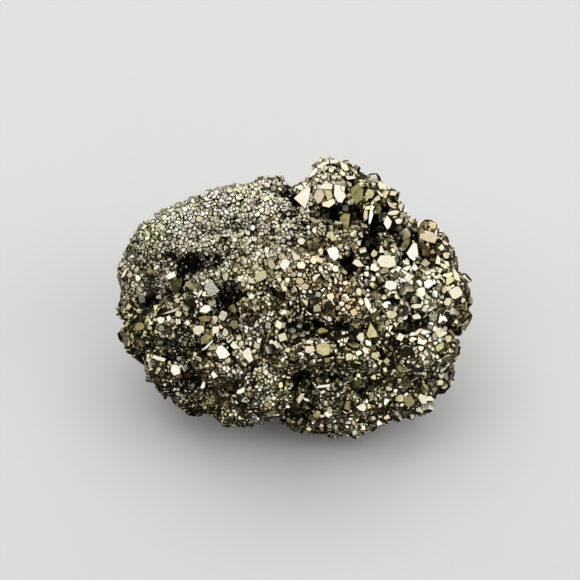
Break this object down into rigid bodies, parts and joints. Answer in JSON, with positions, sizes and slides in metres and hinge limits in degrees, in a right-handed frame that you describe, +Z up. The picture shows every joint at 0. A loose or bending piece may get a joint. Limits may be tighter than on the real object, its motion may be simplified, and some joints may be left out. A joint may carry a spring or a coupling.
{
  "type": "pyrite nodule",
  "caption": "Rounded lumpy pyrite stone crusted with intergrown brassy crystals, fine grains on its upper left dome and larger flat faces elsewhere, resting on a broken flat underside.",
  "frame": {"origin": "bottom centre of the bounding box, on the flat broken underside", "axes": "+X to the right across the long side of the stone, +Y to the back, away from the show face, +Z up"},
  "size_m": [0.0602, 0.048, 0.0367],
  "materials": {
    "pyrite": "metallic crystal faces, bright and slightly striated, with dark brown crevices between the grains"
  },
  "bodies": {
    "root": {"pyrite_nodule": "pyrite"}
  },
  "joints": []
}
